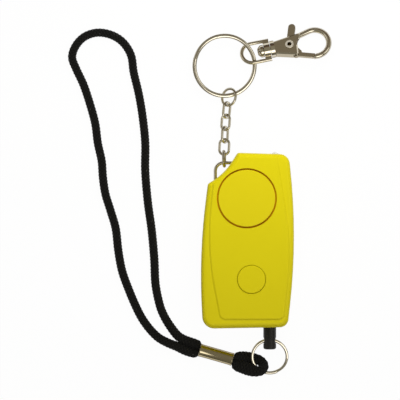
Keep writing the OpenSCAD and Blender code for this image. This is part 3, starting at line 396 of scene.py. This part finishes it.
def plait_height(along, around):
    """Height of the braid's surface, from 0 between the plaits to 1 on a crown."""
    turns = PLAITS * along / PLAIT_LEAD
    right = PLAITS * around / (2 * math.pi) - turns
    left = PLAITS * around / (2 * math.pi) + turns
    heights = []
    for across, other, over in ((right, left, 1), (left, right, -1)):
        plait = np.round(across)
        bulge = np.sqrt(np.maximum(0, 1 - (PLAIT_NARROW * (across - plait)) ** 2))
        weave = 0.5 + 0.5 * over * np.cos(math.pi * (other - plait))
        heights.append(BULGE_SHARE * bulge + WEAVE_SHARE * weave)
    return np.maximum(*heights)


def braided_cord(name, line, far, half_width, half_height, sides, stands_for):
    """A braided cord along a line: a grid rolled into a tube, with the plaits raised on it."""
    rings = len(line) - 1
    shape = bmesh.new()
    bmesh.ops.create_grid(shape, x_segments=rings, y_segments=sides, size=1, calc_uvs=True)
    crown = shape.verts.layers.float.new("crown")
    ahead = np.gradient(line, axis=0)
    ahead /= np.linalg.norm(ahead, axis=1)[:, None]
    across = np.cross((0, 0, 1), ahead)
    across /= np.linalg.norm(across, axis=1)[:, None]
    up = np.cross(ahead, across)
    at = np.array([vert.co for vert in shape.verts])
    ring = np.rint((at[:, 0] + 1) / 2 * rings).astype(int)
    around = (at[:, 1] + 1) * math.pi
    height = plait_height(far[ring], around)
    rise = PLAIT_RISE * (height - 1) * out_of_mouth(far)[ring]
    moved = (
        line[ring]
        + ((half_width[ring] + rise) * np.cos(around))[:, None] * across[ring]
        + ((half_height[ring] + rise) * np.sin(around))[:, None] * up[ring]
    )
    for vert, place, high in zip(shape.verts, moved, height):
        vert.co = place
        vert[crown] = high
    bmesh.ops.remove_doubles(shape, verts=shape.verts, dist=MERGE_DISTANCE)
    bmesh.ops.holes_fill(shape, edges=[edge for edge in shape.edges if edge.is_boundary])
    bmesh.ops.recalc_face_normals(shape, faces=shape.faces)
    made = new_piece(name, shape, "lanyard", cord_black, stands_for, crease=80)


# Cord ferrule: an oval crimped tube with a slightly flared rim at each end
FERRULE_WIDTH = 4.9
FERRULE_HEIGHT = 4.5
FERRULE_WALL = 0.35
FERRULE_RIM = 0.1
FERRULE_SIDES = 64
FLARE = 1.045
# Distances from the ferrule's end, and how wide it is there beside its middle
FLARE_LINE = [(0, 1), (0.12, FLARE), (0.4, FLARE), (0.9, 1)]


def ferrule():
    """The ferrule's tube, drawn out from an oval along its length, with a wall and rounded rims."""
    length = (EYE_MOUTH - LOOP_MOUTH).length
    shape = bmesh.new()
    bmesh.ops.create_circle(shape, segments=FERRULE_SIDES, radius=0.5)
    bmesh.ops.scale(shape, vec=(FERRULE_WIDTH, FERRULE_HEIGHT, 1), verts=shape.verts)
    edges = shape.edges[:]
    stations = FLARE_LINE + [(length - at, size) for at, size in reversed(FLARE_LINE)]
    for (before, size_before), (at, size) in zip(stations, stations[1:]):
        step = bmesh.ops.extrude_edge_only(shape, edges=edges)["geom"]
        verts = verts_in(step)
        edges = [element for element in step if isinstance(element, bmesh.types.BMEdge)]
        bmesh.ops.translate(shape, vec=(0, 0, at - before), verts=verts)
        ratio = size / size_before
        bmesh.ops.scale(shape, vec=(ratio, ratio, 1), verts=verts)
    bmesh.ops.recalc_face_normals(shape, faces=shape.faces)
    turned = Matrix((FERRULE_SIDE, (0, 0, 1), FERRULE_AHEAD)).transposed().to_4x4()
    place = Matrix.Translation(LOOP_MOUTH) @ turned
    made = new_piece(
        "ferrule_tube", shape, "lanyard", nickel_ferrule, ["cord_ferrule"], place,
        crease=60,
    )
    wall = made.modifiers.new("wall", "SOLIDIFY")
    wall.thickness = FERRULE_WALL * MM
    wall.offset = -1
    rim = made.modifiers.new("rim", "BEVEL")
    rim.width = FERRULE_RIM * MM
    rim.segments = EDGE_SEGMENTS
    rim.limit_method = "ANGLE"
    return made


ferrule_tube = ferrule()
loop_line, loop_far = smooth_line(
    [strand_end(LOOP_MOUTH, STRAND_IN, -1), strand_end(LOOP_MOUTH, -STRAND_OUT, -1)]
    + [(x, y, CORD_Z) for x, y in LOOP_ROUTE]
    + [strand_end(LOOP_MOUTH, -STRAND_OUT, 1), strand_end(LOOP_MOUTH, STRAND_IN, 1)],
    LOOP_SPACING,
)
loop_line[:, 2] = np.maximum(loop_line[:, 2], CORD_Z)
eye_line, eye_far = smooth_line(
    [strand_end(EYE_MOUTH, -STRAND_IN, 1), strand_end(EYE_MOUTH, STRAND_OUT, 1)]
    + EYE_ROUTE
    + [strand_end(EYE_MOUTH, STRAND_OUT, -1), strand_end(EYE_MOUTH, -STRAND_IN, -1)],
    EYE_SPACING,
)
# The cord is drawn thinner towards the far end of its loop, and fuller where its strands lie together
LOOP_DRAWN = 0.06
LOOP_FULL = 1.72
LOOP_TOGETHER = 0.34
LOOP_TOGETHER_LENGTH = 13
loop_drawn = LOOP_DRAWN * np.sin(math.pi * loop_far / loop_far[-1]) ** 2
loop_together = LOOP_TOGETHER * np.exp(-((from_ferrule(loop_far) / LOOP_TOGETHER_LENGTH) ** 2))
loop_half = swelling(loop_far, LOOP_FULL - loop_drawn + loop_together)
# The small eye's two strands press together and bulge before the ring goes through it
EYE_PRESS = 0.17
EYE_PRESS_AT = 5.6
EYE_PRESS_LENGTH = 3.5
EYE_BULGE = 0.55
EYE_SPREAD = 0.1
beyond_mouth = (eye_line - np.array(EYE_MOUTH)) @ np.array(FERRULE_AHEAD)
beside_axis = (eye_line - np.array(EYE_MOUTH)) @ np.array(FERRULE_SIDE)
pressed = np.exp(-(((beyond_mouth - EYE_PRESS_AT) / EYE_PRESS_LENGTH) ** 4))
eye_line -= (EYE_PRESS * pressed * beside_axis)[:, None] * np.array(FERRULE_SIDE)
eye_half = swelling(eye_far, EYE_CORD_WIDTH / 2 + EYE_SPREAD) + EYE_BULGE * pressed
braided_cord(
    "wrist_cord_braid", loop_line, loop_far, loop_half, np.minimum(loop_half, CORD_Z), LOOP_SIDES,
    stands_for=["wrist_cord"],
)
braided_cord(
    "ring_eye_braid", eye_line, eye_far, eye_half, swelling(eye_far, EYE_CORD_HEIGHT / 2), EYE_SIDES,
    stands_for=["ring_eye_cord"],
)

# Split rings: one rounded wire that makes two turns and climbs from the lower to the upper one
RING_GAP = 0.1
RING_WIRE_SIDES = 28
RING_LEVEL_ANGLE = 300
RING_LEVEL_STEPS = 100
RING_CLIMB_ANGLE = 60
RING_CLIMB_STEPS = 24
KEY_RING_TILT = Matrix.Rotation(math.radians(3.5), 4, "Y") @ Matrix.Rotation(math.radians(8), 4, "X")
PIN_RING_TILT = Matrix.Rotation(math.radians(16), 4, "X")
# Name, body, outer diameter, wire's width, thickness of both turns, angle of the wire's start and tilt
SPLIT_RINGS = [
    ("key_split_ring", "key_ring", 25, 1.55, 1.7, 165, KEY_RING_TILT),
    ("pin_split_ring", "pin_ring", 14.6, 1.1, 1.2, -5, PIN_RING_TILT),
]


def split_ring(name, body, outer, wire, thick, turn, tilt):
    """A split ring spun from the wire's section, in the place of the solid with its body's name."""
    height = (thick - RING_GAP) / 2
    low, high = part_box(body)
    radius = (outer - wire) / 2
    level = (RING_LEVEL_ANGLE, 0, RING_LEVEL_STEPS)
    climb = (RING_CLIMB_ANGLE, height + RING_GAP, RING_CLIMB_STEPS)
    shape = bmesh.new()
    bmesh.ops.create_circle(shape, cap_ends=True, segments=RING_WIRE_SIDES, radius=0.5)
    bmesh.ops.scale(shape, vec=(wire, height, 1), verts=shape.verts)
    bmesh.ops.rotate(shape, cent=(0, 0, 0), matrix=Matrix.Rotation(math.pi / 2, 3, "X"), verts=shape.verts)
    bmesh.ops.translate(shape, vec=(radius, 0, -thick / 2 + height / 2), verts=shape.verts)
    geom = shape.verts[:] + shape.edges[:] + shape.faces[:]
    for angle, rise, steps in (level, climb, level):
        geom = bmesh.ops.spin(
            shape, geom=geom, cent=(0, 0, 0), axis=(0, 0, 1), dvec=(0, 0, rise / steps),
            angle=math.radians(angle), steps=steps, use_duplicate=False,
        )["geom_last"]
    bmesh.ops.holes_fill(shape, edges=[edge for edge in shape.edges if edge.is_boundary])
    bmesh.ops.recalc_face_normals(shape, faces=shape.faces)
    place = Matrix.Translation((low + high) / (2 * MM)) @ tilt @ Matrix.Rotation(math.radians(turn), 4, "Z")
    new_piece(name, shape, body, nickel_ring, [body], place, crease=50)


for ring_facts in SPLIT_RINGS:
    split_ring(*ring_facts)

# Rigid pieces in their solids' shapes, with the edges broken as a mould or a tumbler leaves them
FLAT_ANGLE = 0.5


def edge_broken(node, body, material, edge_width):
    """A copy of a node's mesh with its flat faces joined and its sharp edges bevelled."""
    shape = bmesh.new()
    shape.from_mesh(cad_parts[node].data)
    bmesh.ops.scale(shape, vec=(1 / MM, 1 / MM, 1 / MM), verts=shape.verts)
    bmesh.ops.remove_doubles(shape, verts=shape.verts, dist=MERGE_DISTANCE)
    if edge_width:
        bmesh.ops.dissolve_limit(
            shape, angle_limit=math.radians(FLAT_ANGLE), verts=shape.verts, edges=shape.edges,
            use_dissolve_boundaries=False,
        )
        sharp_from = math.radians(SHARP_ANGLE)
        closed = [edge for edge in shape.edges if edge.is_manifold]
        sharp = [edge for edge in closed if edge.calc_face_angle() > sharp_from]
        bmesh.ops.bevel(
            shape, geom=sharp, affect="EDGES", offset=edge_width, segments=EDGE_SEGMENTS, profile=0.5,
            material=-1, clamp_overlap=True,
        )
    made = new_piece(node + "_finished", shape, body, material, [node])
    flat = made.modifiers.new("flat_faces", "WEIGHTED_NORMAL")
    flat.keep_sharp = True
    return made


CHAIN_LINKS = sorted(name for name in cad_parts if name.startswith("chain_link_"))
# Node, body, slot, finish and width of the broken edges, in millimetres
FINISHED = [
    ("front_cover", "housing", "case_plastic", case_yellow, 0.06),
    ("rear_cover", "housing", "back_plastic", back_yellow, 0.1),
    ("badge_disc", "housing", "case_plastic", badge_yellow, 0.2),
    ("case_screws", "housing", "screw_steel", zinc_steel, 0.1),
    ("light_led", "housing", "led_lens", led_clear, 0.05),
    ("keyring_bail", "housing", "plated_wire", nickel_wire, 0),
    ("light_button", "light_button", "case_plastic", case_yellow, 0.05),
    ("battery_door", "battery_door", "back_plastic", back_yellow, 0.1),
    ("pull_pin", "pull_pin", "black_plastic", pin_black, 0.1),
    *[(link, link, "plated_wire", nickel_wire, 0) for link in CHAIN_LINKS],
    ("jump_ring", "jump_ring", "plated_wire", nickel_wire, 0),
    ("swivel_eye", "swivel_eye", "clasp_metal", nickel_clasp, 0.15),
    ("swivel_post", "clasp", "clasp_metal", nickel_clasp, 0.15),
    ("clasp_body", "clasp", "clasp_metal", nickel_clasp, 0.15),
    ("trigger_rivet", "clasp", "clasp_metal", rivet_painted_highlight, 0.26),
    ("clasp_trigger", "clasp_trigger", "clasp_metal", nickel_clasp, 0.2),
]
finished = {}
for node_name, body_name, slot_name, finish, edge_size in FINISHED:
    finished[node_name] = edge_broken(node_name, body_name, finish, edge_size)

# Painted shade: a dark finish in the tubular rivet's bore, where little light reaches, and an amber one in
# the badge's groove, for its shade and the light bounced between its yellow walls
CLASP_TURN = Matrix.Rotation(math.radians(11), 3, "Z") @ Matrix.Rotation(math.radians(-21), 3, "X")
UP = Vector((0, 0, 1))
RIVET_BORE_REACH = (0, 0.95 * MM)
GROOVE_REACH = (10.95 * MM, 11.7 * MM)
# The largest share of the axis in a face's normal: faces that look sideways, or every face
SIDEWAYS = 0.5
ANY_WAY = 2


def paint_shade_on(node, material, middle, along, reach, most_along):
    """Painted shade: another finish on faces between two distances from an axis, if they look along it
    little enough.
    """
    mesh = finished[node].data
    mesh.materials.append(material)
    from_axis = [(vert.co - middle).cross(along).length for vert in mesh.vertices]
    for face in mesh.polygons:
        within = all(reach[0] < from_axis[number] < reach[1] for number in face.vertices)
        if within and abs(face.normal.dot(along)) < most_along:
            face.material_index = len(mesh.materials) - 1


def middle_of(node):
    """The middle of a node's box."""
    low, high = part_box(node)
    return (Vector(low) + Vector(high)) / 2


rivet_middle = middle_of("trigger_rivet")
badge_middle = middle_of("badge_disc")
paint_shade_on("trigger_rivet", bore_painted_shade, rivet_middle, CLASP_TURN @ UP, RIVET_BORE_REACH, SIDEWAYS)
for grooved in ("front_cover", "badge_disc"):
    paint_shade_on(grooved, groove_painted_shade, badge_middle, UP, GROOVE_REACH, ANY_WAY)

# The hook's tip is cut on a slant, so that the gate's end can swing close past it
HOOK_MIDDLE = Vector((25.917, 76.772, 4.383)) * MM
HOOK_RADIUS = 5.55 * MM
HOOK_ROD_RADIUS = 1.05 * MM
HOOK_TIP_ANGLE = math.radians(-93)
HOOK_SLANT = 1.05 * MM
# How far the tip's vertices lie from its middle, and how far behind its end face
TIP_REACH = 1.5 * HOOK_ROD_RADIUS
TIP_DEPTH = 0.2 * MM
tip_out = CLASP_TURN @ Vector((math.cos(HOOK_TIP_ANGLE), math.sin(HOOK_TIP_ANGLE), 0))
tip_ahead = CLASP_TURN @ Vector((math.sin(HOOK_TIP_ANGLE), -math.cos(HOOK_TIP_ANGLE), 0))
tip_middle = HOOK_MIDDLE + HOOK_RADIUS * tip_out
for vert in finished["clasp_body"].data.vertices:
    from_tip = vert.co - tip_middle
    if from_tip.length < TIP_REACH and from_tip.dot(tip_ahead) > -TIP_DEPTH:
        vert.co += tip_ahead * HOOK_SLANT * (from_tip.dot(tip_out) / HOOK_ROD_RADIUS + 1) / 2

# End wall of the battery door, which closes the case's lower end over the cell
DOOR_END = [
    (-14.95, -33.3), (-14.2, -33.5), (-13, -33.58), (-4.25, -33.58), (-4.25, -32.3), (-14.95, -32.3),
]
DOOR_END_LOW = 1.45
DOOR_END_HIGH = 5.35
DOOR_END_EDGE = 0.1
wall_shape = bmesh.new()
foot = wall_shape.faces.new([wall_shape.verts.new((x, y, DOOR_END_LOW)) for x, y in DOOR_END])
grown = bmesh.ops.extrude_face_region(wall_shape, geom=[foot])["geom"]
bmesh.ops.translate(wall_shape, vec=(0, 0, DOOR_END_HIGH - DOOR_END_LOW), verts=verts_in(grown))
bmesh.ops.recalc_face_normals(wall_shape, faces=wall_shape.faces)
bmesh.ops.bevel(
    wall_shape, geom=wall_shape.edges[:], affect="EDGES", offset=DOOR_END_EDGE, segments=2, profile=0.5,
    material=-1, clamp_overlap=True,
)
new_piece("door_end_wall", wall_shape, "battery_door", back_yellow, [])

# Inner pieces: the solids themselves, with their own finishes
INNER = {
    "switch_plunger": chip_black,
    "tact_switch": chip_black,
    "circuit_board": board_green,
    "control_chip": chip_black,
    "driver_transistor": chip_black,
    "step_up_coil": ferrite_grey,
    "pin_contacts": contact_plate,
    "led_leads": contact_plate,
    "siren_disc": siren_brass,
    "siren_ceramic": ceramic_white,
    "siren_leads": lead_red,
    "battery_cell": cell_sleeve,
    "battery_spring": contact_plate,
    "battery_contact": contact_plate,
    "trigger_spring": nickel_clasp,
}
for node_name, finish in INNER.items():
    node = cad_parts[node_name]
    node.data.materials.clear()
    node.data.materials.append(finish)

# Floor, in metres: white paper that keeps a faint shadow and looks white to the camera and in the metal
FLOOR_Z = -0.05 * MM
FLOOR_REACH = 8
PAPER_TONE = (0.9, 0.9, 0.9)
PAPER_ROUGH = 0.9
PAPER_WHITE = 0.97
floor_shape = bmesh.new()
bmesh.ops.create_grid(floor_shape, x_segments=1, y_segments=1, size=FLOOR_REACH)
bmesh.ops.translate(floor_shape, vec=(0, 0, FLOOR_Z), verts=floor_shape.verts)
floor_mesh = bpy.data.meshes.new("floor")
floor_shape.to_mesh(floor_mesh)
floor_shape.free()
floor = bpy.data.objects.new("floor", floor_mesh)
scene.collection.objects.link(floor)
paper = bpy.data.materials.new("paper")
paper.use_nodes = True
paper_tree = paper.node_tree
paper_shader = paper_tree.nodes["Principled BSDF"]
paper_shader.inputs["Base Color"].default_value = opaque(PAPER_TONE)
paper_shader.inputs["Roughness"].default_value = PAPER_ROUGH
paper_shader.inputs["Specular IOR Level"].default_value = 0
rays = add_node(paper_tree, "LightPath").outputs
in_view = add_node(
    paper_tree, "Math", {0: rays["Is Camera Ray"], 1: rays["Is Glossy Ray"]}, operation="MAXIMUM"
)
seen = add_node(
    paper_tree, "Math", {0: in_view.outputs[0], 1: rays["Is Transmission Ray"]}, operation="MAXIMUM"
)
part_white = add_node(paper_tree, "Math", {0: seen.outputs[0], 1: PAPER_WHITE}, operation="MULTIPLY")
white = add_node(paper_tree, "Emission", {"Color": (1, 1, 1, 1), "Strength": 1})
paper_mix = add_node(
    paper_tree, "MixShader", {0: part_white.outputs[0], 1: paper_shader.outputs[0], 2: white.outputs[0]}
)
paper_tree.links.new(paper_mix.outputs[0], paper_tree.nodes["Material Output"].inputs["Surface"])
floor_mesh.materials.append(paper)

# Light: a dim room, darker far back and near the horizon, with soft boxes in front and at both sides
# How far back the light comes from, from -1 in front to 1 behind, and the room's colour there
ROOM = [
    (-1, (0.2, 0.19, 0.155)),
    (-0.3, (0.24, 0.225, 0.185)),
    (0.15, (0.27, 0.255, 0.21)),
    (0.43, (0.27, 0.25, 0.195)),
    (0.66, (0.26, 0.235, 0.18)),
    (0.79, (0.1, 0.065, 0.05)),
    (0.92, (0.1, 0.065, 0.05)),
    (1, (0.2, 0.19, 0.165)),
]
# The way to each soft box, the cosines at its faint edge and where it is full, and its colour
SOFT_BOXES = [
    ((0.25, -0.5, 0.83), 0.94, 0.972, (2.2, 2.16, 2.1)),
    ((0.66, 0.05, 0.75), 0.95, 0.98, (1.1, 1.08, 1.05)),
    ((-0.86, 0.17, 0.48), 0.93, 0.97, (0.5, 0.49, 0.48)),
]
# Up to this height above the horizon the room is darker, down to that share of its colour
HORIZON = 0.4
HORIZON_SHARE = 0.3
world = bpy.data.worlds.new("studio")
scene.world = world
world.use_nodes = True
sky = world.node_tree
way = add_node(sky, "TexCoord").outputs["Generated"]
split_way = add_node(sky, "SeparateXYZ", {0: way})
back = add_node(sky, "MapRange", {"Value": split_way.outputs["Y"], "From Min": -1, "From Max": 1})
room = add_node(sky, "ValToRGB", {"Fac": back.outputs["Result"]})
room.color_ramp.elements.remove(room.color_ramp.elements[1])
for number, (behind, colour) in enumerate(ROOM):
    at = (behind + 1) / 2
    stop = room.color_ramp.elements[0] if number == 0 else room.color_ramp.elements.new(at)
    stop.position = at
    stop.color = opaque(colour)
risen = add_node(
    sky,
    "MapRange",
    {"Value": split_way.outputs["Z"], "From Max": HORIZON, "To Min": HORIZON_SHARE},
    interpolation_type="SMOOTHSTEP",
)
light = add_node(
    sky, "VectorMath", {0: room.outputs["Color"], 1: risen.outputs["Result"]}, operation="MULTIPLY"
).outputs[0]
for towards, edge, full, colour in SOFT_BOXES:
    facing = add_node(
        sky, "VectorMath", {0: way, 1: Vector(towards).normalized()}, operation="DOT_PRODUCT"
    )
    inside = add_node(
        sky,
        "MapRange",
        {"Value": facing.outputs["Value"], "From Min": edge, "From Max": full},
        interpolation_type="SMOOTHSTEP",
    )
    light = add_node(
        sky, "VectorMath", {0: inside.outputs["Result"], 1: colour, 2: light}, operation="MULTIPLY_ADD"
    ).outputs[0]
sky.nodes["Background"].inputs["Strength"].default_value = 1
sky.links.new(light, sky.nodes["Background"].inputs["Color"])

# Lamp: a soft light over the top end of the case, which the metal doesn't mirror
LAMP_PLACE = Vector((0.02, 0.13, 0.15))
LAMP_AIM = Vector((0, 0.03, 0.01))
LAMP_SIZE = 0.12
LAMP_POWER = 0.265
LAMP_COLOUR = (1, 0.98, 0.95)
lamp_data = bpy.data.lights.new("top_lamp", "AREA")
lamp_data.size = LAMP_SIZE
lamp_data.energy = LAMP_POWER
lamp_data.color = LAMP_COLOUR
lamp = bpy.data.objects.new("top_lamp", lamp_data)
lamp.location = LAMP_PLACE
lamp.rotation_euler = (LAMP_AIM - LAMP_PLACE).to_track_quat("-Z", "Y").to_euler()
lamp.visible_camera = False
lamp.visible_glossy = False
scene.collection.objects.link(lamp)
